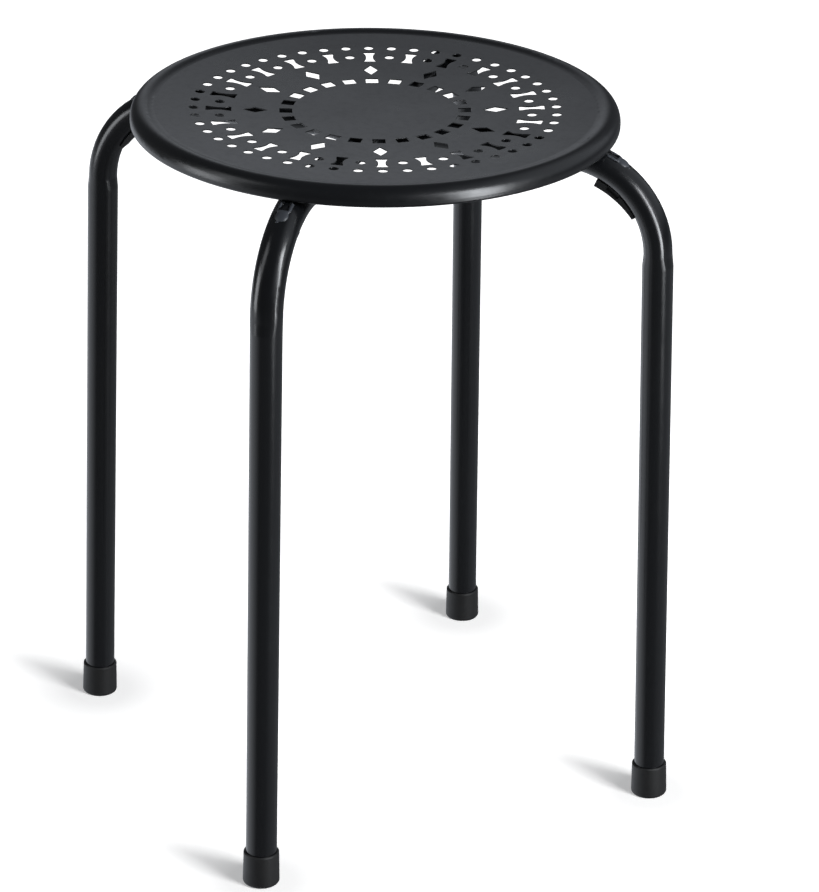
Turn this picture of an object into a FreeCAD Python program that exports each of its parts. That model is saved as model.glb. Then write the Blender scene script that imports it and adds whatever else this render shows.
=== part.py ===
"""Round steel stacking stool: a perforated pan seat on two crossed bent-tube leg frames.

Millimetres, +Z up. The origin is on the floor under the middle of the seat.
The right leg stands on +X, the back leg on +Y, the left leg on -X and the front leg on -Y.
Every leg has the same parts, so each part is drawn once in the plane of the right leg and turned.
"""
import FreeCAD, Part
import math
import os
import re
import Sketcher

Vector = FreeCAD.Vector
Rotation = FreeCAD.Rotation
Placement = FreeCAD.Placement

# Driving dimensions, each one set by itself: millimetres and degrees
DRIVING = (
    ("stool_height", 440.0),
    ("seat_diameter", 298.0),
    ("sheet", 0.6),
    ("crown_radius", 8.0),
    ("skirt_height", 11.3),
    ("hem_radius", 1.6),
    ("rim_rise", 0.9),
    ("dish_depth", 4.9),
    ("dish_blend_radius", 14.0),
    ("pattern_turn", 22.2),
    ("dot_ring_radius", 110.2),
    ("spool_ring_radius", 95.2),
    ("diamond_ring_radius", 73.1),
    ("square_ring_radius", 54.4),
    ("dot_diameter", 5.9),
    ("spool_length", 15.5),
    ("spool_end_width", 7.2),
    ("spool_waist_width", 4.2),
    ("spool_end_length", 1.6),
    ("diamond_length", 16.0),
    ("diamond_width", 9.2),
    ("square_side", 7.7),
    ("tube_diameter", 19.0),
    ("tube_wall", 1.2),
    ("foot_circle_radius", 191.0),
    ("splay_angle", 1.5),
    ("bend_radius", 58.0),
    ("bend_half_width", 9.75),
    ("bend_half_depth", 8.75),
    ("bend_end_length", 7.0),
    ("crossing_flat_length", 15.0),
    ("crossing_blend_length", 22.0),
    ("crossing_flat_width", 25.0),
    ("crossing_gap", 0.1),
    ("seat_gap", 0.1),
    ("cap_height", 21.0),
    ("cap_floor", 4.0),
    ("cap_top_radius", 10.9),
    ("cap_bottom_radius", 11.3),
    ("cap_lip", 0.6),
    ("cap_toe_radius", 2.0),
    ("cap_clearance", 0.05),
    ("pad_low_angle", 29.0),
    ("pad_slot_low_angle", 47.0),
    ("pad_slot_high_angle", 58.0),
    ("pad_high_angle", 67.0),
    ("pad_thin_end", 1.2),
    ("pad_thick_end", 4.2),
    ("pad_wrap", 0.7),
    ("pad_slot_depth", 1.8),
    ("pad_belly_radius", 58.0),
    ("pad_width", 10.0),
    ("pad_clearance", 0.1),
    ("peg_angle", 62.5),
    ("peg_diameter", 4.0),
    ("peg_clearance", 0.15),
    ("peg_root_depth", 1.5),
    ("peg_reach", 3.4),
    ("bracket_width", 8.6),
    ("bracket_foot_width", 5.6),
    ("bracket_slot_width", 3.2),
    ("bracket_web", 4.5),
    ("bracket_lap", 3.5),
    ("bracket_toe_reach", 5.5),
    ("bracket_toe_thickness", 1.0),
    ("bracket_sweep", 9.0),
    ("bracket_clearance", 0.1),
)

# Places worked out from the driving dimensions
DERIVED = (
    ("seat_radius", "=seat_diameter / 2"),
    ("crown_x", "=seat_radius - crown_radius"),
    ("crown_z", "=stool_height - crown_radius"),
    ("crown_inner", "=crown_radius - sheet"),
    ("panel_top_z", "=stool_height - rim_rise - dish_depth"),
    ("panel_under_z", "=panel_top_z - sheet"),
    ("dish_radius", "=(crown_x ^ 2 + dish_depth ^ 2) / (2 * dish_depth)"),
    ("dish_z", "=panel_top_z + dish_radius"),
    ("dish_outer", "=dish_radius + sheet"),
    ("swing", "=dish_radius - dish_blend_radius"),
    ("blend_sum", "=crown_radius + dish_blend_radius"),
    ("span", "=sqrt(crown_x ^ 2 + (dish_z - crown_z) ^ 2)"),
    ("along", "=(swing ^ 2 - blend_sum ^ 2 + span ^ 2) / (2 * span)"),
    ("aside", "=sqrt(swing ^ 2 - along ^ 2)"),
    ("blend_x", "=(along * crown_x - aside * (dish_z - crown_z)) / span"),
    ("blend_z", "=dish_z - (along * (dish_z - crown_z) + aside * crown_x) / span"),
    ("dish_end_sin", "=blend_x / swing"),
    ("dish_end_cos", "=(dish_z - blend_z) / swing"),
    ("crown_end_sin", "=(crown_x - blend_x) / blend_sum"),
    ("crown_end_cos", "=(blend_z - crown_z) / blend_sum"),
    ("skirt_z", "=stool_height - skirt_height"),
    ("hem_x", "=seat_radius - hem_radius"),
    ("hem_z", "=skirt_z + hem_radius"),
    ("hem_top_z", "=hem_z + sqrt(hem_radius ^ 2 - (hem_radius - sheet) ^ 2)"),
    ("tube_radius", "=tube_diameter / 2"),
    ("rail_z", "=panel_under_z - seat_gap - tube_radius"),
    ("bend_z", "=rail_z - bend_radius"),
    ("bend_reach", "=(bend_radius + bend_z * sin(splay_angle)) / cos(splay_angle)"),
    ("bend_x", "=foot_circle_radius - bend_reach"),
    ("bend_foot_x", "=bend_x + bend_radius * cos(splay_angle)"),
    ("bend_foot_z", "=bend_z + bend_radius * sin(splay_angle)"),
    ("leg_top_x", "=bend_foot_x + bend_end_length * sin(splay_angle)"),
    ("leg_top_z", "=bend_foot_z - bend_end_length * cos(splay_angle)"),
    ("leg_length", "=leg_top_z / cos(splay_angle) - cap_floor - cap_clearance"),
    ("rail_start_x", "=crossing_flat_length + crossing_blend_length"),
    ("rail_end_x", "=bend_x - bend_end_length"),
    ("rail_length", "=rail_end_x - rail_start_x"),
    ("bend_shift", "=(bend_half_width - bend_half_depth) / (2 - sqrt(2))"),
    ("bend_side_radius", "=bend_half_width - bend_shift"),
    ("flat_half_depth", "=(tube_radius - crossing_gap / 2) / 2"),
    ("flat_straight", "=crossing_flat_width / 2 - flat_half_depth"),
    ("flat_offset", "=tube_radius - flat_half_depth"),
    ("bend_inside", "=bend_radius - bend_half_depth"),
    ("cap_bore_radius", "=tube_radius + cap_clearance"),
    ("cap_trim", "=cap_bottom_radius * sin(splay_angle) + 0.1"),
    ("bend_outside", "=bend_radius + bend_half_depth"),
    ("bracket_lap_x", "=seat_radius - 2 * hem_radius - bracket_clearance"),
    ("bracket_web_x", "=bracket_lap_x - bracket_web"),
    ("bracket_web_z", "=bend_z + sqrt(bend_outside ^ 2 - (bracket_web_x - bend_x) ^ 2)"),
    ("bracket_toe_x", "=seat_radius + bracket_toe_reach"),
    ("bracket_toe_z", "=bend_z + sqrt(bend_outside ^ 2 - (bracket_toe_x - bend_x) ^ 2)"),
)
ALIASES = {alias for alias, content in DRIVING + DERIVED}

LEGS = (("right", 0), ("back", 90), ("left", 180), ("front", 270))
DIAMONDS = 12
SPOOLS = 24
RIM_DOTS = 48

doc = FreeCAD.newDocument("stacking_stool")
dims = doc.addObject("Spreadsheet::Sheet", "dims")
for row, (alias, content) in enumerate(DRIVING + DERIVED, start=1):
    dims.set("A%d" % row, alias)
    dims.set("B%d" % row, str(content))
    dims.setAlias("B%d" % row, alias)
doc.recompute()


def linked(expression):
    """The expression with each of the sheet's names written so that other objects can read it."""
    def name(match):
        return "dims." + match.group() if match.group() in ALIASES else match.group()
    return re.sub(r"[a-z_]+", name, expression)


def value(expression):
    """What an expression of the sheet's names comes to now."""
    return float(dims.evalExpression(linked(expression)))


def new_body(name, turn=0):
    """A body drawn in the right leg's plane and turned about the stool's axis."""
    body = doc.addObject("PartDesign::Body", name)
    body.Label = name
    body.Placement = Placement(Vector(0, 0, 0), Rotation(Vector(0, 0, 1), turn))
    return body


def origin_plane(body, role):
    """One of a body's own origin planes."""
    return [item for item in body.Origin.OriginFeatures if item.Role == role][0]


def new_sketch(body, role, name, base=("0", "0", "0"), axis=(0, 0, 1), angle="0"):
    """A sketch on one of the body's planes, moved and turned by expressions."""
    sketch = body.newObject("Sketcher::SketchObject", name)
    sketch.AttachmentSupport = (origin_plane(body, role), "")
    sketch.MapMode = "FlatFace"
    start = Vector(*[value(part) for part in base])
    sketch.AttachmentOffset = Placement(start, Rotation(Vector(*axis), value(angle)))
    for letter, part in zip("xyz", base):
        if part != "0":
            sketch.setExpression(".AttachmentOffset.Base." + letter, linked(part))
    if angle != "0":
        sketch.setExpression(".AttachmentOffset.Rotation.Angle", linked(angle))
    return sketch


def bind(sketch, kind, expression, *where):
    """One constraint whose size comes from the sheet."""
    number = sketch.addConstraint(Sketcher.Constraint(kind, *where, value(expression)))
    name = "size_%d" % number
    sketch.renameConstraint(number, name)
    sketch.setExpression("Constraints." + name, linked(expression))


def hold_across(sketch, edge, end, across):
    """Hold a point's distance from the sketch's upright axis."""
    if across == "0":
        sketch.addConstraint(Sketcher.Constraint("PointOnObject", edge, end, -2))
    else:
        bind(sketch, "DistanceX", across, -1, 1, edge, end)


def hold_up(sketch, edge, end, up):
    """Hold a point's distance from the sketch's level axis."""
    if up == "0":
        sketch.addConstraint(Sketcher.Constraint("PointOnObject", edge, end, -1))
    else:
        bind(sketch, "DistanceY", up, -1, 1, edge, end)


def spot(point):
    """Where a pair of expressions is now."""
    return Vector(value(point[0]), value(point[1]), 0)


def arc_between(start, end, centre, turn):
    """An arc about a centre, counter-clockwise for a turn of 1 and clockwise for -1."""
    first = start - centre
    last = end - centre
    low = math.atan2(first.y, first.x)
    high = math.atan2(last.y, last.x)
    if turn > 0 and high <= low:
        high += 2 * math.pi
    if turn < 0 and high >= low:
        high -= 2 * math.pi
    half = (low + high) / 2
    middle = centre + Vector(math.cos(half), math.sin(half), 0) * first.Length
    return Part.Arc(start, middle, end)


def short_arc_centre(start, end, radius, turn):
    """The centre of the shorter arc of a radius between two points."""
    half = (end - start) * 0.5
    rise = math.sqrt(radius ** 2 - half.Length ** 2)
    left = Vector(-half.y, half.x, 0).normalize()
    return start + half + left * rise * turn


def outline(sketch, steps):
    """A closed outline of lines and arcs.

    A step is a start point, and for an arc also its centre, or its radius, and its turn; it runs
    to the next step's start point. Points are pairs of expressions.
    """
    ends = []
    for number, step in enumerate(steps):
        start, end = spot(step[0]), spot(steps[(number + 1) % len(steps)][0])
        if len(step) == 1:
            edge = sketch.addGeometry(Part.LineSegment(start, end), False)
            ends.append((edge, 1, 2))
            continue
        if isinstance(step[1], str):
            centre = short_arc_centre(start, end, value(step[1]), step[2])
        else:
            centre = spot(step[1])
        edge = sketch.addGeometry(arc_between(start, end, centre, step[2]), False)
        ends.append((edge, 1, 2) if step[2] > 0 else (edge, 2, 1))
    for number, step in enumerate(steps):
        edge, first, last = ends[number]
        following = ends[(number + 1) % len(steps)]
        sketch.addConstraint(
            Sketcher.Constraint("Coincident", edge, last, following[0], following[1]))
        hold_across(sketch, edge, first, step[0][0])
        hold_up(sketch, edge, first, step[0][1])
    for number, step in enumerate(steps):
        if len(step) == 1:
            continue
        edge = ends[number][0]
        chord = spot(steps[(number + 1) % len(steps)][0]) - spot(step[0])
        if isinstance(step[1], str):
            bind(sketch, "Radius", step[1], edge)
        elif abs(chord.x) > abs(chord.y):
            hold_up(sketch, edge, 3, step[1][1])
        else:
            hold_across(sketch, edge, 3, step[1][0])


def circle(sketch, centre, diameter):
    """A circle held at a place by its diameter."""
    edge = sketch.addGeometry(Part.Circle(spot(centre), Vector(0, 0, 1), value(diameter) / 2), False)
    hold_across(sketch, edge, 3, centre[0])
    hold_up(sketch, edge, 3, centre[1])
    bind(sketch, "Diameter", diameter, edge)


def revolve(body, kind, sketch, name, axis="V_Axis", angle="360"):
    """A Revolution or Groove of a sketch about one of its axes."""
    feature = body.newObject("PartDesign::" + kind, name)
    feature.Profile = sketch
    feature.ReferenceAxis = (sketch, [axis])
    feature.Angle = value(angle)
    if angle != "360":
        feature.setExpression("Angle", linked(angle))
    return feature


def pad(body, sketch, name, length, midplane=False):
    """A Pad along the sketch's normal."""
    feature = body.newObject("PartDesign::Pad", name)
    feature.Profile = sketch
    feature.Length = value(length)
    feature.setExpression("Length", linked(length))
    feature.Midplane = midplane
    return feature


def cut_through(body, sketch, name, width=None):
    """A Pocket to both sides of its sketch, right through or as wide as an expression."""
    feature = body.newObject("PartDesign::Pocket", name)
    feature.Profile = sketch
    feature.Midplane = True
    if width is None:
        feature.Type = "ThroughAll"
    else:
        feature.Length = value(width)
        feature.setExpression("Length", linked(width))
    return feature


def around(body, feature, sketch, name, count):
    """A ring of copies of a feature about the stool's axis."""
    ring = body.newObject("PartDesign::PolarPattern", name)
    ring.Originals = [feature]
    ring.Axis = (sketch, ["N_Axis"])
    ring.Angle = 360
    ring.Occurrences = count
    body.Tip = ring
    return ring


# The seat: one pressed sheet with a dished panel, a rolled crown and a hemmed skirt
seat = new_body("seat_pan")
profile = new_sketch(seat, "XZ_Plane", "seat_profile")
outline(profile, (
    (("0", "panel_top_z"), ("0", "dish_z"), 1),
    (("dish_radius * dish_end_sin", "dish_z - dish_radius * dish_end_cos"),
     ("blend_x", "blend_z"), 1),
    (("crown_x - crown_radius * crown_end_sin", "crown_z + crown_radius * crown_end_cos"),
     ("crown_x", "crown_z"), -1),
    (("seat_radius", "crown_z"),),
    (("seat_radius", "hem_z"), ("hem_x", "hem_z"), -1),
    (("seat_radius - sheet", "hem_top_z"),),
    (("seat_radius - sheet", "crown_z"), ("crown_x", "crown_z"), 1),
    (("crown_x - crown_inner * crown_end_sin", "crown_z + crown_inner * crown_end_cos"),
     ("blend_x", "blend_z"), -1),
    (("dish_outer * dish_end_sin", "dish_z - dish_outer * dish_end_cos"), ("0", "dish_z"), -1),
    (("0", "panel_under_z"),),
))
revolve(seat, "Revolution", profile, "pressed_sheet")


def pattern_sketch(name, turn="pattern_turn"):
    """A level sketch over the seat, turned so that its own X axis is the pattern's axis."""
    return new_sketch(seat, "XY_Plane", name, ("0", "0", "stool_height"), (0, 0, 1), turn)


dots = pattern_sketch("rim_dot")
circle(dots, ("dot_ring_radius", "0"), "dot_diameter")
around(seat, cut_through(seat, dots, "rim_dot_cut"), dots, "rim_dots", RIM_DOTS)

spool_dots = pattern_sketch("spool_dot", "pattern_turn + 180 / %d" % SPOOLS)
circle(spool_dots, ("spool_ring_radius", "0"), "dot_diameter")
around(seat, cut_through(seat, spool_dots, "spool_dot_cut"), spool_dots, "spool_dots", SPOOLS)

# A spool's sides are arcs from end to end through its waist
spools = pattern_sketch("spool")
near = "spool_ring_radius - spool_length / 2"
far = "spool_ring_radius + spool_length / 2"
near_end = near + " + spool_end_length"
far_end = far + " - spool_end_length"
half_end = "spool_end_width / 2"
side_run = "(spool_length / 2 - spool_end_length)"
side_sag = "(spool_end_width - spool_waist_width) / 2"
side_radius = "(%s ^ 2 + (%s) ^ 2) / (2 * (%s))" % (side_run, side_sag, side_sag)
side_centre = "spool_waist_width / 2 + " + side_radius
outline(spools, (
    ((near, "-" + half_end),),
    ((near_end, "-" + half_end), ("spool_ring_radius", "-(" + side_centre + ")"), -1),
    ((far_end, "-" + half_end),),
    ((far, "-" + half_end),),
    ((far, half_end),),
    ((far_end, half_end), ("spool_ring_radius", side_centre), -1),
    ((near_end, half_end),),
    ((near, half_end),),
))
around(seat, cut_through(seat, spools, "spool_cut"), spools, "spools", SPOOLS)

diamonds = pattern_sketch("diamond")
outline(diamonds, (
    (("diamond_ring_radius - diamond_length / 2", "0"),),
    (("diamond_ring_radius", "-diamond_width / 2"),),
    (("diamond_ring_radius + diamond_length / 2", "0"),),
    (("diamond_ring_radius", "diamond_width / 2"),),
))
around(seat, cut_through(seat, diamonds, "diamond_cut"), diamonds, "diamonds", DIAMONDS)

squares = pattern_sketch("square")
outline(squares, (
    (("square_ring_radius - square_side / 2", "-square_side / 2"),),
    (("square_ring_radius + square_side / 2", "-square_side / 2"),),
    (("square_ring_radius + square_side / 2", "square_side / 2"),),
    (("square_ring_radius - square_side / 2", "square_side / 2"),),
))
around(seat, cut_through(seat, squares, "square_cut"), squares, "squares", SPOOLS)


def tube_ring(sketch, shape, level, growth):
    """One closed ring of a tube section in four edges: floor, right side, roof and left side.

    The shape is round, bend (pressed oval) or flat (level floor and roof). The growth is how far
    the ring lies outside the tube's outer surface.
    """
    if shape == "round":
        side, radius, across = "0", "tube_radius", "(tube_radius + %s) * cos(45)" % growth
        up = across
        roof = "0"
    elif shape == "bend":
        side = "bend_shift"
        roof = "bend_shift"
        up = "(bend_side_radius + %s) * cos(45)" % growth
        across = "bend_shift + " + up
    else:
        side = "flat_straight"
        roof = None
        up = "(flat_half_depth + %s)" % growth
        across = "flat_straight"
    low, high = "%s - %s" % (level, up), "%s + %s" % (level, up)
    if roof is None:
        floor_edge = (("-(%s)" % across, low),)
        roof_edge = ((across, high),)
    else:
        floor_edge = (("-(%s)" % across, low), ("0", "%s + %s" % (level, roof)), 1)
        roof_edge = ((across, high), ("0", "%s - %s" % (level, roof)), 1)
    outline(sketch, (
        floor_edge,
        ((across, low), (side, level), 1),
        roof_edge,
        (("-(%s)" % across, high), ("0" if side == "0" else "-" + side, level), 1),
    ))


def tube_section(body, name, shape, up, out, level="0", angle="0"):
    """A tube's wall section at a place in the leg's plane, square to the tube there."""
    sketch = new_sketch(body, "YZ_Plane", name, ("0", up, out), (1, 0, 0), angle)
    tube_ring(sketch, shape, level, "0")
    tube_ring(sketch, shape, level, "-tube_wall")
    return sketch


def tube_loft(body, name, start, end):
    """A tube wall that changes from one section to another."""
    feature = body.newObject("PartDesign::AdditiveLoft", name)
    feature.Profile = start
    feature.Sections = [end]
    return feature


def peg_sketch(body, name, out, growth):
    """A round section square to the peg, at a distance from the bend's centre."""
    base = ("0", "bend_z + (%s) * sin(peg_angle)" % out, "bend_x + (%s) * cos(peg_angle)" % out)
    sketch = new_sketch(body, "YZ_Plane", name, base, (-1, 0, 0), "peg_angle")
    circle(sketch, ("0", "0"), "peg_diameter + 2 * " + growth)
    return sketch


def leg_frame(name, turn, level):
    """One tube bent down into two legs, pressed flat where it crosses the other tube."""
    body = new_body(name, turn)
    flat = tube_section(body, "crossing", "flat", level, "0")
    pad(body, flat, "crossing_flat", "2 * crossing_flat_length", True)
    halves = [tube_loft(
        body, "crossing_blend",
        tube_section(body, "flat_end", "flat", level, "crossing_flat_length"),
        tube_section(body, "rail_start", "round", "rail_z", "rail_start_x"))]
    rail = tube_section(body, "rail", "round", "rail_z", "rail_start_x")
    halves.append(pad(body, rail, "straight_rail", "rail_length"))
    halves.append(tube_loft(
        body, "upper_press",
        tube_section(body, "rail_end", "round", "rail_z", "rail_end_x"),
        tube_section(body, "bend_head", "bend", "rail_z", "bend_x")))
    bend = tube_section(body, "bend", "bend", "bend_z", "bend_x", "bend_radius")
    halves.append(revolve(body, "Revolution", bend, "pressed_bend", "H_Axis", "90 - splay_angle"))
    down = "90 - splay_angle"
    halves.append(tube_loft(
        body, "lower_press",
        tube_section(body, "bend_foot", "bend", "bend_foot_z", "bend_foot_x", "0", down),
        tube_section(body, "press_end", "round", "leg_top_z", "leg_top_x", "0", down)))
    leg = tube_section(body, "leg", "round", "leg_top_z", "leg_top_x", "0", down)
    halves.append(pad(body, leg, "straight_leg", "leg_length"))
    hole = body.newObject("PartDesign::Pocket", "peg_hole")
    hole.Profile = peg_sketch(body, "peg_hole_ring", "bend_inside - tube_wall", "peg_clearance")
    hole.Length = value("3 * tube_wall")
    hole.setExpression("Length", linked("3 * tube_wall"))
    hole.Reversed = True
    halves.append(hole)
    mirrored = body.newObject("PartDesign::Mirrored", "other_half")
    mirrored.Originals = halves
    mirrored.MirrorPlane = (origin_plane(body, "YZ_Plane"), [""])
    body.Tip = mirrored
    return body


def foot_cap(name, turn):
    """A push-on cap: leaning bore, flared side, broken lip and a foot cut level with the floor."""
    body = new_body(name, turn)
    section = new_sketch(
        body, "XZ_Plane", "cap_section", ("foot_circle_radius", "0", "0"), (0, 0, 1), "splay_angle")
    outline(section, (
        (("0", "-cap_trim"),),
        (("cap_bottom_radius - cap_toe_radius", "-cap_trim"),
         ("cap_bottom_radius - cap_toe_radius", "cap_toe_radius - cap_trim"), 1),
        (("cap_bottom_radius", "cap_toe_radius - cap_trim"),),
        (("cap_top_radius", "cap_height - cap_lip"),),
        (("cap_top_radius - cap_lip", "cap_height"),),
        (("cap_bore_radius", "cap_height"),),
        (("cap_bore_radius", "cap_floor"),),
        (("0", "cap_floor"),),
    ))
    revolve(body, "Revolution", section, "cap_wall")
    floor = new_sketch(body, "XY_Plane", "floor_cut", ("foot_circle_radius", "0", "0"))
    circle(floor, ("0", "0"), "3 * cap_bottom_radius")
    trim = body.newObject("PartDesign::Pocket", "level_foot")
    trim.Profile = floor
    trim.Type = "ThroughAll"
    body.Tip = trim
    return body


def bend_groove(body, name, growth):
    """Cut a body to the bend's outside, with a clearance."""
    sketch = new_sketch(body, "YZ_Plane", name + "_ring", ("0", "bend_z", "bend_x"))
    tube_ring(sketch, "bend", "bend_radius", growth)
    return revolve(body, "Groove", sketch, name, "H_Axis")


def polar(radius, angle):
    """A point at a distance and an angle, both expressions."""
    return ("(%s) * cos(%s)" % (radius, angle), "(%s) * sin(%s)" % (radius, angle))


def stacking_pad(name, turn):
    """A bumper strip under the bend, with a slot behind it and a peg into the tube."""
    body = new_body(name, turn)
    strip = new_sketch(body, "XZ_Plane", "strip_side", ("bend_x", "bend_z", "0"))
    centre = ("0", "0")
    saddle = "bend_inside + pad_wrap"
    slot = "bend_inside - pad_slot_depth"
    outline(strip, (
        (polar("bend_inside - pad_thin_end", "pad_low_angle"), "pad_belly_radius", 1),
        (polar("bend_inside - pad_thick_end", "pad_high_angle"),),
        (polar(saddle, "pad_high_angle"), centre, -1),
        (polar(saddle, "pad_slot_high_angle"),),
        (polar(slot, "pad_slot_high_angle"), centre, -1),
        (polar(slot, "pad_slot_low_angle"),),
        (polar(saddle, "pad_slot_low_angle"), centre, -1),
        (polar(saddle, "pad_low_angle"),),
    ))
    pad(body, strip, "strip", "pad_width", True)
    bend_groove(body, "saddle", "pad_clearance")
    ring = peg_sketch(body, "peg_ring", "bend_inside - peg_root_depth", "0")
    body.Tip = pad(body, ring, "peg", "peg_root_depth + peg_reach")
    return body


def seat_bracket(name, turn):
    """A pressed gusset that joins the skirt to the bend: two flanks on a web behind the hem."""
    body = new_body(name, turn)
    side = new_sketch(body, "XZ_Plane", "gusset_side")
    top = "skirt_z + bracket_lap"
    outline(side, (
        (("bracket_web_x", "bracket_web_z - bend_half_depth"),),
        (("bracket_toe_x", "bracket_toe_z - bend_half_depth"),),
        (("bracket_toe_x", "bracket_toe_z + bracket_toe_thickness"), "bracket_sweep", -1),
        (("seat_radius - hem_radius / 2", "skirt_z - bracket_clearance"),),
        (("bracket_lap_x", "skirt_z - bracket_clearance"),),
        (("bracket_lap_x", top),),
        (("bracket_web_x", top),),
    ))
    pad(body, side, "gusset", "bracket_width", True)
    edges = new_sketch(body, "YZ_Plane", "gusset_edges")
    for sign in ("", "-"):
        outline(edges, (
            ((sign + "bracket_foot_width / 2", "bracket_toe_z"),),
            ((sign + "bracket_width", "bracket_toe_z"),),
            ((sign + "bracket_width", top),),
            ((sign + "bracket_width / 2", top),),
        ))
    cut_through(body, edges, "tapered_edges")
    slot = new_sketch(body, "XZ_Plane", "slot_side")
    outline(slot, (
        (("bracket_lap_x", "bracket_toe_z - bend_half_depth"),),
        (("bracket_toe_x + bracket_toe_thickness", "bracket_toe_z - bend_half_depth"),),
        (("bracket_toe_x + bracket_toe_thickness", top),),
        (("bracket_lap_x", top),),
    ))
    cut_through(body, slot, "slot_between_flanks", "bracket_slot_width")
    body.Tip = bend_groove(body, "tube_seat", "bracket_clearance")
    return body


nodes = [seat, leg_frame("side_leg_frame", 0, "rail_z - flat_offset"),
         leg_frame("front_back_leg_frame", 90, "rail_z + flat_offset")]
for make, piece in ((foot_cap, "foot_cap"), (stacking_pad, "stacking_pad"),
                    (seat_bracket, "seat_bracket")):
    for leg, turn in LEGS:
        nodes.append(make("%s_%s" % (leg, piece), turn))
doc.recompute()

for item in doc.Objects:
    if "Invalid" in item.State or "Error" in item.State:
        raise RuntimeError("%s could not be built" % item.Name)
for body in nodes:
    if body.Shape.isNull() or not body.Shape.isValid():
        raise RuntimeError("%s has no sound shape" % body.Label)

os.makedirs("parts", exist_ok=True)
for body in nodes:
    body.Shape.exportStep("parts/%s.step" % body.Label)
    box = body.Shape.BoundBox
    print(body.Label, len(body.Shape.Solids), round(body.Shape.Volume), box)
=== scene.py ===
"""Looks for the stacking stool: powder-coated steel, moulded plastic, weld beads and a white stage.

Metres, +Z up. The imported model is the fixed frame, and everything here is placed on its nodes.
"""

import math

import bmesh
import bpy
from mathutils import Matrix, Vector


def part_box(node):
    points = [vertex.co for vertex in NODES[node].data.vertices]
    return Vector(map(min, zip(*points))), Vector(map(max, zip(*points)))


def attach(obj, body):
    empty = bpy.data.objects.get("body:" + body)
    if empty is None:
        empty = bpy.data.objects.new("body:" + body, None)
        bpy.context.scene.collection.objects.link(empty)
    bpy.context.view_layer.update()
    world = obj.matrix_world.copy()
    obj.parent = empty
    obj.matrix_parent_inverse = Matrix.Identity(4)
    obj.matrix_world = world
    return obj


bl_info = {
    "name": "Stacking Stool",
    "version": (1, 0, 0),
    "blender": (4, 5, 0),
    "location": "View3D > Sidebar > Stool",
    "description": "Finishes the packed stool and sets it on a white studio floor",
    "category": "Object",
}

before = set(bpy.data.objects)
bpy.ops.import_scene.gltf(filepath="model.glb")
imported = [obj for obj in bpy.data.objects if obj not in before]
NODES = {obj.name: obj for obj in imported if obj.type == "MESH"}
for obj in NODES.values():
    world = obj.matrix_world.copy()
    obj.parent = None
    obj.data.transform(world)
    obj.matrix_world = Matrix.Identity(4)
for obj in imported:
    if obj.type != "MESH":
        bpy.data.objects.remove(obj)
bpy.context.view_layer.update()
LEGS = {"right": 0, "back": 90, "left": 180, "front": 270}

# Textures of the coats: cells to the metre, detail and roughness of each noise
PEEL = (900.0, 3.0, 0.55)
FINE = (3600.0, 2.0, 0.6)
PATCHES = (9.0, 3.0, 0.6)
DUST = (240.0, 4.0, 0.7)
SPARK = (2600.0, 2.0, 0.7)
CLOUD = (60.0, 3.0, 0.6)
SCUFF = (420.0, 5.0, 0.75)
SPARK_DEPTH = 0.00003
CLOUD_DEPTH = 0.00004

# How far the textures dull a coat, and what its roughness is lowered by first
PATCHES_DULL = 0.05
DUST_DULL = 0.05
CLOUD_DULL = 0.08
DULL_MEAN = 0.04

# How far the coats round an edge, and how strongly they mirror
POWDER_EDGE = 0.0004
POWDER_IOR = 1.5
PLASTIC_EDGE = 0.0003
PLASTIC_IOR = 1.46

# The bend over the right leg, the tube's half width and depth in it, and where the tubes touch
BEND_CENTRE = (0.12335, 0.0, 0.366)
BEND_RADIUS = 0.058
BEND_SECTION = (0.00975, 0.00875)
BEND_OUTSIDE = BEND_RADIUS + BEND_SECTION[1]
RAIL_LEVEL = 0.424

# Weld round a bracket's toe: millimetres that the ripples of a flank lie behind the toe, their
# turn round the tube, and then the ripples in front of it, as shares of that turn
FLANK_RIPPLES = (6.0, 5.1, 4.2, 3.3, 2.4, 1.5, 0.6)
FLANK_TURN = math.radians(20.0)
FRONT_RIPPLES = (-0.85, -0.5, -0.17, 0.17, 0.5, 0.85)
FRONT_AHEAD = 0.5
TOE_SWELL = 0.12
TOE_HEIGHT = 0.95

# Puddle and drop in front of a toe: millimetres ahead, turn, lift and half sizes
PUDDLE = (3.6, 0.0, -0.0009, (0.0046, 0.0041, 0.0019))
DROP = (8.4, math.radians(-9.0), -0.0003, (0.0007, 0.0012, 0.0008))

# Welds where the tubes cross: the turn of each and its side of the rails' level, its place and
# its ripples
CROSSING_WELDS = ((0, 1), (180, 1), (90, -1), (270, -1))
CROSSING_OUT = 0.0112
CROSSING_RISE = 0.0009
CROSSING_STEP = 0.0013
CROSSING_RIPPLES = 13
CROSSING_LENGTH = 0.8
CROSSING_SWELL = 0.06
CROSSING_COARSER = 1.6

# Lamps: azimuth from the front leg and elevation in degrees, distance, size, power in watts, and
# whether the stool's gloss sees the lamp (True) or its colours do (False)
LAMPS = (
    ("key", 72.0, 38.0, 3.0, (0.9, 1.6), 82.0, False),
    ("strip", 66.0, 14.6, 1.2, (0.34, 1.1), 19.0, True),
    ("side", -60.0, 7.0, 1.6, (0.6, 0.8), 7.0, True),
    ("high_side", -53.0, 35.0, 1.6, (0.5, 0.7), 1.9, True),
)
LAMPS_AIM = (0.0, 0.0, 0.25)
PLAIN_LAMP = (1.0, 1.0, 1.0)
COOL_LAMP = (0.97, 1.0, 1.04)

# Floor; then its painted glow to the camera: the distances from a foot's middle over which it rises
# to full, painting out the stool's shadows further away, and its level at the feet
FLOOR_SIZE = (3.5, 3.3)
FLOOR_MIDDLE = (-1.15, 1.35, 0.0)
FLOOR_PAINT = 0.85
GLOW_RISE_FROM_FEET = (0.02, 0.1)
GLOW_AT_FEET = 0.4

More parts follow.
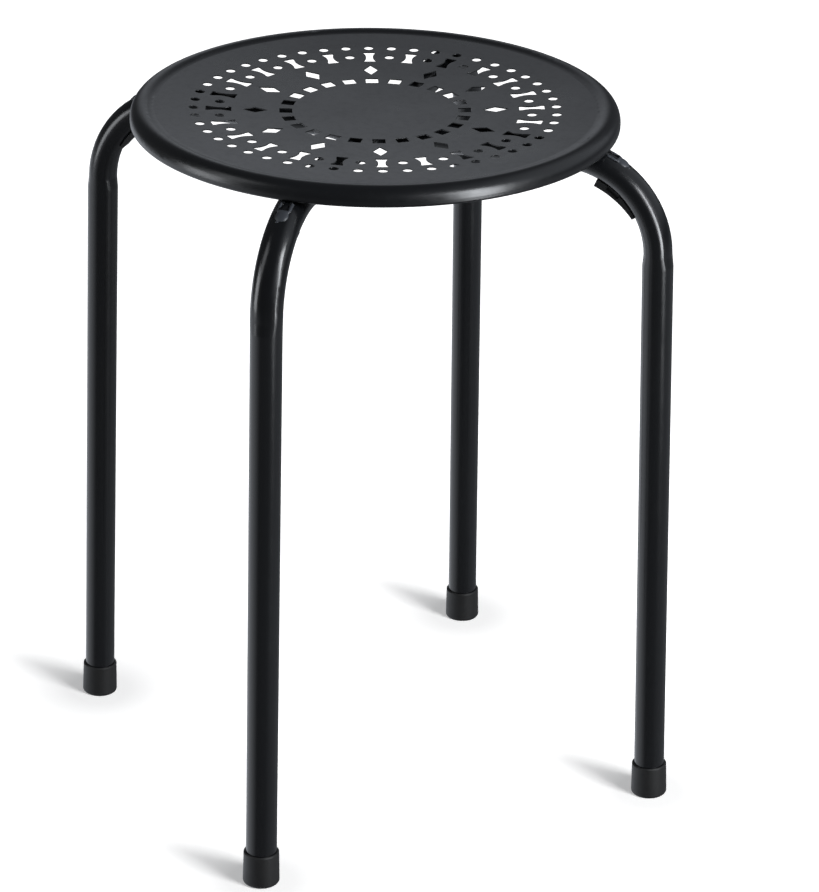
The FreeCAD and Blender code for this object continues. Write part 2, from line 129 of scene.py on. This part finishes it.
# Backdrop: its round glow, from the middle of the stool
BACKDROP_SIZE = (5.0, 2.4)
BACKDROP_DISTANCE = 3.0
BACKDROP_LEVEL = 0.08
GLOW_LEFT = 0.3
GLOW_HEIGHT = 1.3
GLOW_REACH = (0.3, 1.1)
GLOW_LEVEL = 0.5

# Room that the gloss sees: each part starts and is full where a ray points that far its way
FLOOR_EDGE = (-0.34, -0.1)
FLOOR_LEVEL = 0.08
BRIGHT_TURN = math.radians(113.0)
BRIGHT_PART = (0.3, 0.85)
BRIGHT_LEVEL = 0.95
BELOW_PART = (0.42, 0.9)
BELOW_SHARE = 0.3
RIGHT_PART = (0.4, 0.9)
RIGHT_LEVEL = 0.16
WALL_PART = (0.2, 0.6)
WALL_RISE = (0.0, 0.25)
WALL_LEVEL = 0.5
ROOM_LEVEL = 0.1

# White that the camera sees round the stool, a white with a little blue, and the picture's width
CAMERA_WHITE = 1.06
COOL = (0.95, 1.0, 1.08, 1.0)
PICTURE_WIDTH = 819


class Wire:
    """A shader socket that can be used in sums."""

    def __init__(self, tree, socket):
        self.tree = tree
        self.socket = socket

    def maths(self, operation, *others, clamp=False):
        node = self.tree.nodes.new("ShaderNodeMath")
        node.operation = operation
        node.use_clamp = clamp
        for place, item in zip(node.inputs, (self,) + others):
            if isinstance(item, Wire):
                self.tree.links.new(item.socket, place)
            else:
                place.default_value = item
        return Wire(self.tree, node.outputs[0])

    def __add__(self, other):
        return self.maths("ADD", other)

    def __radd__(self, other):
        return self.maths("ADD", other)

    def __sub__(self, other):
        return self.maths("SUBTRACT", other)

    def __rsub__(self, other):
        return (self * -1.0).maths("ADD", other)

    def __mul__(self, other):
        return self.maths("MULTIPLY", other)

    def __rmul__(self, other):
        return self.maths("MULTIPLY", other)

    def between(self, low, high):
        """0 below one value, 1 above the other, and even in between."""
        return ((self - low) * (1.0 / (high - low))).maths("ADD", 0.0, clamp=True)


class Finish:
    """The shader nodes of one material or world."""

    def __init__(self, owner):
        owner.use_nodes = True
        self.owner = owner
        self.tree = owner.node_tree
        self.tree.nodes.clear()

    def add(self, kind, settings=None, outlet=0, **values):
        """Any node: its settings first, then its sockets by name, or by number as _0."""
        node = self.tree.nodes.new(kind)
        for name, setting in (settings or {}).items():
            setattr(node, name, setting)
        for name, item in values.items():
            socket = node.inputs[int(name[1:]) if name[1:].isdigit() else name.replace("_", " ")]
            if isinstance(item, Wire):
                self.tree.links.new(item.socket, socket)
            else:
                socket.default_value = item
        return Wire(self.tree, node.outputs[outlet]) if node.outputs else None

    def place(self):
        return self.add("ShaderNodeTexCoord", outlet="Object")

    def ray(self, kind):
        return self.add("ShaderNodeLightPath", outlet="Is " + kind + " Ray")

    def noise(self, scale, detail, roughness):
        return self.add("ShaderNodeTexNoise", Vector=self.place(), Scale=scale, Detail=detail,
                        Roughness=roughness)

    def shade(self, low, high, factor):
        """A colour between two others."""
        return self.add("ShaderNodeMix", {"data_type": "RGBA"}, outlet=2, Factor=factor,
                        _6=low, _7=high)

    def along(self, vector, way):
        """How far a vector points one way."""
        return self.add("ShaderNodeVectorMath", {"operation": "DOT_PRODUCT"}, outlet="Value",
                        _0=vector, _1=way)

    def away(self, vector, spot):
        """How far a vector ends from a spot."""
        return self.add("ShaderNodeVectorMath", {"operation": "DISTANCE"}, outlet="Value",
                        _0=vector, _1=spot)

    def glow(self, strength, color=(1.0, 1.0, 1.0, 1.0)):
        return self.add("ShaderNodeEmission", Color=color, Strength=strength)

    def coat(self, tone, dull, relief, edge, ior):
        """The shader that every coat ends in, with its edges rounded and its relief on them."""
        rounded = self.add("ShaderNodeBevel", {"samples": 4}, Radius=edge)
        bump = self.add("ShaderNodeBump", Height=relief, Strength=1.0, Distance=1.0,
                        Normal=rounded)
        return self.close(self.add(
            "ShaderNodeBsdfPrincipled", Base_Color=tone, Roughness=dull, Normal=bump, IOR=ior))

    def close(self, shader):
        world = isinstance(self.owner, bpy.types.World)
        self.add("ShaderNodeOutputWorld" if world else "ShaderNodeOutputMaterial", Surface=shader)
        return self.owner


def coat_of(name):
    return Finish(bpy.data.materials.new(name))


def grey(value, tint=0.0):
    """A neutral colour, with as much blue as its tint says."""
    return (value * (1.0 - tint), value, value * (1.0 + 2.0 * tint), 1.0)


class StoolSeatSettings(bpy.types.PropertyGroup):
    color: bpy.props.FloatProperty(
        name="Seat Colour", description="How light the seat's coat is", default=0.005,
        min=0.0, max=1.0)
    roughness: bpy.props.FloatProperty(
        name="Seat Roughness", description="How dull the seat's coat is", default=0.3,
        min=0.0, max=1.0)
    grain: bpy.props.FloatProperty(
        name="Grain", description="Depth of the coat's fine grain", default=0.000004,
        min=0.0, max=0.001, subtype="DISTANCE", unit="LENGTH", precision=6)


class StoolTubeSettings(bpy.types.PropertyGroup):
    color: bpy.props.FloatProperty(
        name="Tube Colour", description="How light the tubes' coat is", default=0.005,
        min=0.0, max=1.0)
    roughness: bpy.props.FloatProperty(
        name="Tube Roughness", description="How dull the tubes' coat is", default=0.22,
        min=0.0, max=1.0)


class StoolPlasticSettings(bpy.types.PropertyGroup):
    cap_color: bpy.props.FloatProperty(
        name="Cap Colour", description="How light the foot caps are", default=0.009,
        min=0.0, max=1.0)
    pad_color: bpy.props.FloatProperty(
        name="Pad Colour", description="How light the stacking pads are", default=0.03,
        min=0.0, max=1.0)


class StoolWeldSettings(bpy.types.PropertyGroup):
    # Painted highlight: this colour is lighter than the tubes' coat so that the welds show as light
    # spots; their higher roughness is the coat's own.
    color: bpy.props.FloatProperty(
        name="Weld Colour", description="How light the coat is on the rough welds",
        default=0.04, min=0.0, max=1.0)
    bead: bpy.props.FloatProperty(
        name="Bead", description="Half width of the weld round a bracket's toe",
        default=0.00105, min=0.0002, max=0.004, subtype="DISTANCE", unit="LENGTH", precision=5)
    crossing_bead: bpy.props.FloatProperty(
        name="Crossing Bead", description="Half width of the welds where the two tubes cross",
        default=0.0021, min=0.0002, max=0.004, subtype="DISTANCE", unit="LENGTH", precision=5)
    grain: bpy.props.FloatProperty(
        name="Fineness", description="Mesh size of the welds", default=0.00022,
        min=0.00005, max=0.001, subtype="DISTANCE", unit="LENGTH", precision=5)


class StoolStageSettings(bpy.types.PropertyGroup):
    azimuth: bpy.props.FloatProperty(
        name="Azimuth", description="Camera's turn to the right of the front leg",
        default=math.radians(19.09), subtype="ANGLE")
    elevation: bpy.props.FloatProperty(
        name="Elevation", description="How far the camera looks down",
        default=math.radians(24.66), subtype="ANGLE")
    roll: bpy.props.FloatProperty(
        name="Roll", description="Camera's tilt", default=math.radians(0.93), subtype="ANGLE")
    distance: bpy.props.FloatProperty(
        name="Distance", description="From the camera to its aim", default=2.34,
        subtype="DISTANCE", unit="LENGTH")
    aim: bpy.props.FloatVectorProperty(
        name="Aim", description="Point that the camera looks at",
        default=(0.0499, -0.0708, 0.2492), subtype="XYZ", unit="LENGTH")
    focal_pixels: bpy.props.FloatProperty(
        name="Focal Length", description="Focal length in pixels of the photograph",
        default=3849.8)


def powder_coat(name, color, roughness, grain, pebble, edge=POWDER_EDGE):
    """Black powder coat: orange peel, a fine grain and a faint dust that dulls it."""
    finish = coat_of(name)
    peel = finish.noise(*PEEL)
    fine = finish.noise(*FINE)
    patches = finish.noise(*PATCHES)
    dust = finish.noise(*DUST)
    tone = finish.shade(grey(color * 0.9, tint=0.1), grey(color * 1.18, tint=0.12),
                        patches * 0.6 + fine * 0.4)
    dull = (patches.between(0.3, 0.7) * PATCHES_DULL + dust.between(0.45, 0.75) * DUST_DULL
            + (roughness - DULL_MEAN))
    return finish.coat(tone, dull, peel * pebble + fine * grain, edge, POWDER_IOR)


def moulded_plastic(name, color, roughness):
    """Black moulded plastic: a fine spark texture and light scuffs."""
    finish = coat_of(name)
    spark = finish.noise(*SPARK)
    cloud = finish.noise(*CLOUD)
    scuff = finish.noise(*SCUFF)
    tone = finish.shade(grey(color), grey(color * 1.7), scuff.between(0.55, 0.8) * 0.5)
    dull = cloud.between(0.3, 0.7) * CLOUD_DULL + (roughness - DULL_MEAN)
    return finish.coat(tone, dull, spark * SPARK_DEPTH + cloud * CLOUD_DEPTH, PLASTIC_EDGE,
                       PLASTIC_IOR)


def dress(node, material):
    """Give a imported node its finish."""
    piece = NODES[node]
    piece.data.materials.clear()
    piece.data.materials.append(material)


class STOOL_OT_seat(bpy.types.Operator):
    """Finish the pressed seat pan"""
    bl_idname = "stool.seat"
    bl_label = "Finish Seat"

    def execute(self, context):
        settings = context.scene.stool_seat
        dress("seat_pan", powder_coat("seat_coat", settings.color, settings.roughness,
                                      settings.grain, pebble=0.000012))
        return {"FINISHED"}


class STOOL_OT_tubes(bpy.types.Operator):
    """Finish the bent tubes and the brackets"""
    bl_idname = "stool.tubes"
    bl_label = "Finish Tubes"

    def execute(self, context):
        settings = context.scene.stool_tubes
        coat = powder_coat("tube_coat", settings.color, settings.roughness,
                           grain=0.000003, pebble=0.000008)
        dress("side_leg_frame", coat)
        dress("front_back_leg_frame", coat)
        for leg in LEGS:
            dress(leg + "_seat_bracket", coat)
        return {"FINISHED"}


def bend_spot(along, across, lift):
    """A place on the outside of the right leg's bend, turned to the tube and the way out.

    The first angle goes round the bend from the top, and the second round the tube.
    """
    out = Vector((math.sin(along), 0.0, math.cos(along)))
    way = Vector((math.cos(along), 0.0, -math.sin(along)))
    side = Vector((0.0, 1.0, 0.0))
    half_width, half_depth = BEND_SECTION
    spot = (Vector(BEND_CENTRE) + out * (BEND_RADIUS + (half_depth + lift) * math.cos(across))
            + side * (half_width + lift) * math.sin(across))
    return Matrix.Translation(spot) @ Matrix((
        (way.x, side.x, out.x, 0.0), (way.y, side.y, out.y, 0.0), (way.z, side.z, out.z, 0.0),
        (0.0, 0.0, 0.0, 1.0)))


def toe_ripples(bead):
    """The weld round the right bracket's toe, with a puddle and a drop in front of it."""
    toe = math.asin((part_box("right_seat_bracket")[1][0] - BEND_CENTRE[0]) / BEND_OUTSIDE)
    millimetre = 0.001 / BEND_OUTSIDE
    flank = [(toe - millimetre * behind, -FLANK_TURN) for behind in FLANK_RIPPLES]
    front = [(toe + millimetre * FRONT_AHEAD, FLANK_TURN * share) for share in FRONT_RIPPLES]
    other_flank = [(along, -across) for along, across in reversed(flank)]
    ripples = [(bend_spot(along, across, 0.0),
                (bead, bead * (1.0 + TOE_SWELL * (count % 2)), bead * TOE_HEIGHT))
               for count, (along, across) in enumerate(flank + front + other_flank)]
    for ahead, across, lift, size in (PUDDLE, DROP):
        ripples.append((bend_spot(toe + millimetre * ahead, across, lift), size))
    return ripples


def crossing_ripples(bead):
    """Four short welds in the corners where the two tubes cross."""
    ripples = []
    for turn, side in CROSSING_WELDS:
        stand = Matrix.Rotation(math.radians(turn), 4, "Z")
        for count in range(CROSSING_RIPPLES):
            place = Vector((CROSSING_OUT, (count - CROSSING_RIPPLES // 2) * CROSSING_STEP,
                            RAIL_LEVEL + side * CROSSING_RISE))
            size = (bead, bead * CROSSING_LENGTH, bead * (1.0 + CROSSING_SWELL * (count % 2)))
            ripples.append((stand @ Matrix.Translation(place), size))
    return ripples


def weld(name, ripples, fineness, coat):
    """A weld bead: flattened drops run together and smoothed."""
    drops = bmesh.new()
    for place, size in ripples:
        bmesh.ops.create_icosphere(drops, subdivisions=3, radius=1.0,
                                   matrix=place @ Matrix.Diagonal((*size, 1.0)))
    mesh = bpy.data.meshes.new(name)
    drops.to_mesh(mesh)
    drops.free()
    piece = bpy.data.objects.new(name, mesh)
    bpy.context.scene.collection.objects.link(piece)
    joined = piece.modifiers.new("joined", "REMESH")
    joined.mode = "VOXEL"
    joined.voxel_size = fineness
    melted = piece.modifiers.new("melted", "SMOOTH")
    melted.factor = 0.5
    melted.iterations = 16
    bpy.context.view_layer.update()
    piece.data = bpy.data.meshes.new_from_object(
        piece.evaluated_get(bpy.context.evaluated_depsgraph_get()))
    piece.modifiers.clear()
    bpy.data.meshes.remove(mesh)
    piece.data.name = name
    piece.data.shade_smooth()
    piece.data.materials.clear()
    piece.data.materials.append(coat)
    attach(piece, "root")


class STOOL_OT_welds(bpy.types.Operator):
    """Run the weld beads round the brackets' toes and where the tubes cross"""
    bl_idname = "stool.welds"
    bl_label = "Add Welds"

    def execute(self, context):
        settings = context.scene.stool_welds
        # The welds' lighter colour paints part of a highlight onto them; their roughness is real.
        coat = powder_coat("weld_coat_with_painted_highlight", settings.color, roughness=0.5,
                           grain=0.000003, pebble=0.000006, edge=0.0)
        ripples = toe_ripples(settings.bead)
        for leg, turn in LEGS.items():
            stand = Matrix.Rotation(math.radians(turn), 4, "Z")
            weld(leg + "_toe_weld", [(stand @ place, size) for place, size in ripples],
                 settings.grain, coat)
        weld("crossing_welds", crossing_ripples(settings.crossing_bead),
             settings.grain * CROSSING_COARSER, coat)
        return {"FINISHED"}


class STOOL_OT_plastics(bpy.types.Operator):
    """Finish the foot caps and the stacking pads"""
    bl_idname = "stool.plastics"
    bl_label = "Finish Plastics"

    def execute(self, context):
        settings = context.scene.stool_plastics
        caps = moulded_plastic("cap_plastic", settings.cap_color, roughness=0.5)
        pads = moulded_plastic("pad_plastic", settings.pad_color, roughness=0.42)
        for leg in LEGS:
            dress(leg + "_foot_cap", caps)
            dress(leg + "_stacking_pad", pads)
        return {"FINISHED"}


def direction(azimuth, elevation=0.0):
    """A unit vector; azimuth 0 is in front of the stool and turns to its right."""
    level = math.cos(elevation)
    return Vector((math.sin(azimuth) * level, -math.cos(azimuth) * level, math.sin(elevation)))


def left_of(facing):
    """The way to the left of a camera at that azimuth."""
    return direction(facing - math.radians(90.0))


def softbox(name, azimuth, elevation, distance, size, power, mirrored):
    """A rectangular lamp that faces the stool, for either its gloss or its colours."""
    light = bpy.data.lights.new(name, "AREA")
    light.shape = "RECTANGLE"
    light.size, light.size_y = size
    light.energy = power
    light.color = COOL_LAMP if mirrored else PLAIN_LAMP
    lamp = bpy.data.objects.new(name, light)
    way = direction(math.radians(azimuth), math.radians(elevation))
    lamp.matrix_world = (Matrix.Translation(Vector(LAMPS_AIM) + way * distance)
                         @ way.to_track_quat("Z", "Y").to_matrix().to_4x4())
    lamp.visible_glossy = mirrored
    lamp.visible_diffuse = not mirrored
    bpy.context.scene.collection.objects.link(lamp)


def stage_sheet(name, size, moves, material):
    """A flat sheet of the stage, with its place in its mesh."""
    sheet = bmesh.new()
    bmesh.ops.create_grid(sheet, x_segments=1, y_segments=1, size=0.5)
    bmesh.ops.scale(sheet, vec=(size[0], size[1], 1.0), verts=sheet.verts)
    for move in moves:
        bmesh.ops.transform(sheet, matrix=move, verts=sheet.verts)
    mesh = bpy.data.meshes.new(name)
    sheet.to_mesh(mesh)
    sheet.free()
    mesh.materials.append(material)
    piece = bpy.data.objects.new(name, mesh)
    bpy.context.scene.collection.objects.link(piece)
    return piece


def white_floor():
    """A pale floor that the camera sees as white, with a painted glow that is lower at the feet and
    full further away, so the shadows show only round the feet.

    The gloss sees the room through it, and so does a camera below it.
    """
    finish = coat_of("floor_white")
    place = finish.place()
    nearest = None
    for leg in LEGS:
        low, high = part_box(leg + "_foot_cap")
        foot = tuple((low[axis] + high[axis]) / 2 for axis in (0, 1)) + (0.0,)
        away = finish.away(place, foot)
        nearest = away if nearest is None else nearest.maths("MINIMUM", away)
    paint = finish.add("ShaderNodeBsdfDiffuse", Color=grey(FLOOR_PAINT))
    # Painted light: the glow to the camera is lowest at the feet and full a little way out, which
    # paints out the stool's shadows there and leaves the floor round the feet darker.
    seen = nearest.between(*GLOW_RISE_FROM_FEET) * (1.0 - GLOW_AT_FEET) + GLOW_AT_FEET
    white = finish.glow(finish.ray("Camera") * seen)
    lit = finish.add("ShaderNodeAddShader", _0=paint, _1=white)
    clear = finish.add("ShaderNodeBsdfTransparent")
    under = finish.add("ShaderNodeNewGeometry", outlet="Backfacing")
    return finish.close(finish.add(
        "ShaderNodeMixShader", _0=finish.ray("Glossy").maths("MAXIMUM", under), _1=lit, _2=clear))


def white_backdrop(facing):
    """A sheet for the gloss, with a round glow behind the stool and a little to the left."""
    finish = coat_of("backdrop_white")
    middle = (direction(facing + math.pi) * BACKDROP_DISTANCE + left_of(facing) * GLOW_LEFT
              + Vector((0.0, 0.0, GLOW_HEIGHT)))
    away = finish.away(finish.place(), middle)
    return finish.close(finish.glow(
        (1.0 - away.between(*GLOW_REACH)) * GLOW_LEVEL + BACKDROP_LEVEL, COOL))


def studio(facing):
    """The room: white to the camera, and to the gloss dim, with a floor bright at the left.

    The bright part lies a little behind the stool too, and a wall stands at the right.
    """
    finish = Finish(bpy.data.worlds.new("studio"))
    way = finish.add("ShaderNodeTexCoord", outlet="Generated")
    right = finish.along(way, left_of(facing)) * -1.0
    bright = finish.along(way, direction(facing - BRIGHT_TURN))
    height = finish.along(way, (0.0, 0.0, 1.0))
    floor = 1.0 - height.between(*FLOOR_EDGE)
    below = (height * -1.0).between(*BELOW_PART) * BELOW_SHARE
    lit = ((bright + below).between(*BRIGHT_PART) * BRIGHT_LEVEL
           + right.between(*RIGHT_PART) * RIGHT_LEVEL + FLOOR_LEVEL)
    wall = right.between(*WALL_PART) * height.between(*WALL_RISE) * WALL_LEVEL
    room = finish.ray("Glossy") * (floor * lit + wall) + ROOM_LEVEL
    seen = finish.ray("Camera")
    strength = seen * CAMERA_WHITE + (1.0 - seen) * room
    return finish.close(finish.add("ShaderNodeBackground", Color=COOL, Strength=strength))


def photograph_camera(settings):
    """A camera where the photograph's stood, with its focal length."""
    lens = bpy.data.cameras.new("photograph")
    lens.sensor_fit = "HORIZONTAL"
    lens.sensor_width = 36.0
    lens.lens = settings.focal_pixels * lens.sensor_width / PICTURE_WIDTH
    lens.clip_end = 50.0
    camera = bpy.data.objects.new("photograph", lens)
    back = direction(settings.azimuth, settings.elevation)
    upright = back.to_track_quat("Z", "Y").to_matrix().to_4x4()
    camera.matrix_world = (Matrix.Translation(Vector(settings.aim) + back * settings.distance)
                           @ upright @ Matrix.Rotation(settings.roll, 4, "Z"))
    return camera


class STOOL_OT_stage(bpy.types.Operator):
    """Build the floor, the lamps and the camera"""
    bl_idname = "stool.stage"
    bl_label = "Build Stage"

    def execute(self, context):
        settings = context.scene.stool_stage
        scene = context.scene
        facing = Matrix.Rotation(settings.azimuth, 4, "Z")
        stage_sheet("floor", FLOOR_SIZE, (Matrix.Translation(FLOOR_MIDDLE), facing),
                    white_floor())
        upright = Matrix.Rotation(math.radians(90.0), 4, "X")
        behind = Matrix.Translation((0.0, BACKDROP_DISTANCE, BACKDROP_SIZE[1] / 2))
        backdrop = stage_sheet("backdrop", BACKDROP_SIZE, (upright, behind, facing),
                               white_backdrop(settings.azimuth))
        backdrop.visible_camera = backdrop.visible_diffuse = backdrop.visible_shadow = False
        scene.world = studio(settings.azimuth)
        for lamp in LAMPS:
            softbox(*lamp)
        camera = photograph_camera(settings)
        scene.collection.objects.link(camera)
        scene.camera = camera
        scene.view_settings.view_transform = "Standard"
        return {"FINISHED"}


class STOOL_PT_panel(bpy.types.Panel):
    """The stool's finishing steps, in order"""
    bl_idname = "STOOL_PT_panel"
    bl_label = "Stacking Stool"
    bl_space_type = "VIEW_3D"
    bl_region_type = "UI"
    bl_category = "Stool"

    def draw(self, context):
        for operator in OPERATORS:
            self.layout.operator(operator.bl_idname)


OPERATORS = (STOOL_OT_seat, STOOL_OT_tubes, STOOL_OT_welds, STOOL_OT_plastics, STOOL_OT_stage)
SETTINGS = (("stool_seat", StoolSeatSettings), ("stool_tubes", StoolTubeSettings),
            ("stool_plastics", StoolPlasticSettings), ("stool_welds", StoolWeldSettings),
            ("stool_stage", StoolStageSettings))


def register():
    for name, group in SETTINGS:
        bpy.utils.register_class(group)
        setattr(bpy.types.Scene, name, bpy.props.PointerProperty(type=group))
    for operator in OPERATORS:
        bpy.utils.register_class(operator)
    bpy.utils.register_class(STOOL_PT_panel)


def unregister():
    bpy.utils.unregister_class(STOOL_PT_panel)
    for operator in reversed(OPERATORS):
        bpy.utils.unregister_class(operator)
    for name, group in reversed(SETTINGS):
        delattr(bpy.types.Scene, name)
        bpy.utils.unregister_class(group)


def main():
    register()
    bpy.ops.stool.seat()
    bpy.ops.stool.tubes()
    bpy.ops.stool.welds()
    bpy.ops.stool.plastics()
    bpy.ops.stool.stage()


if __name__ == "__main__":
    main()
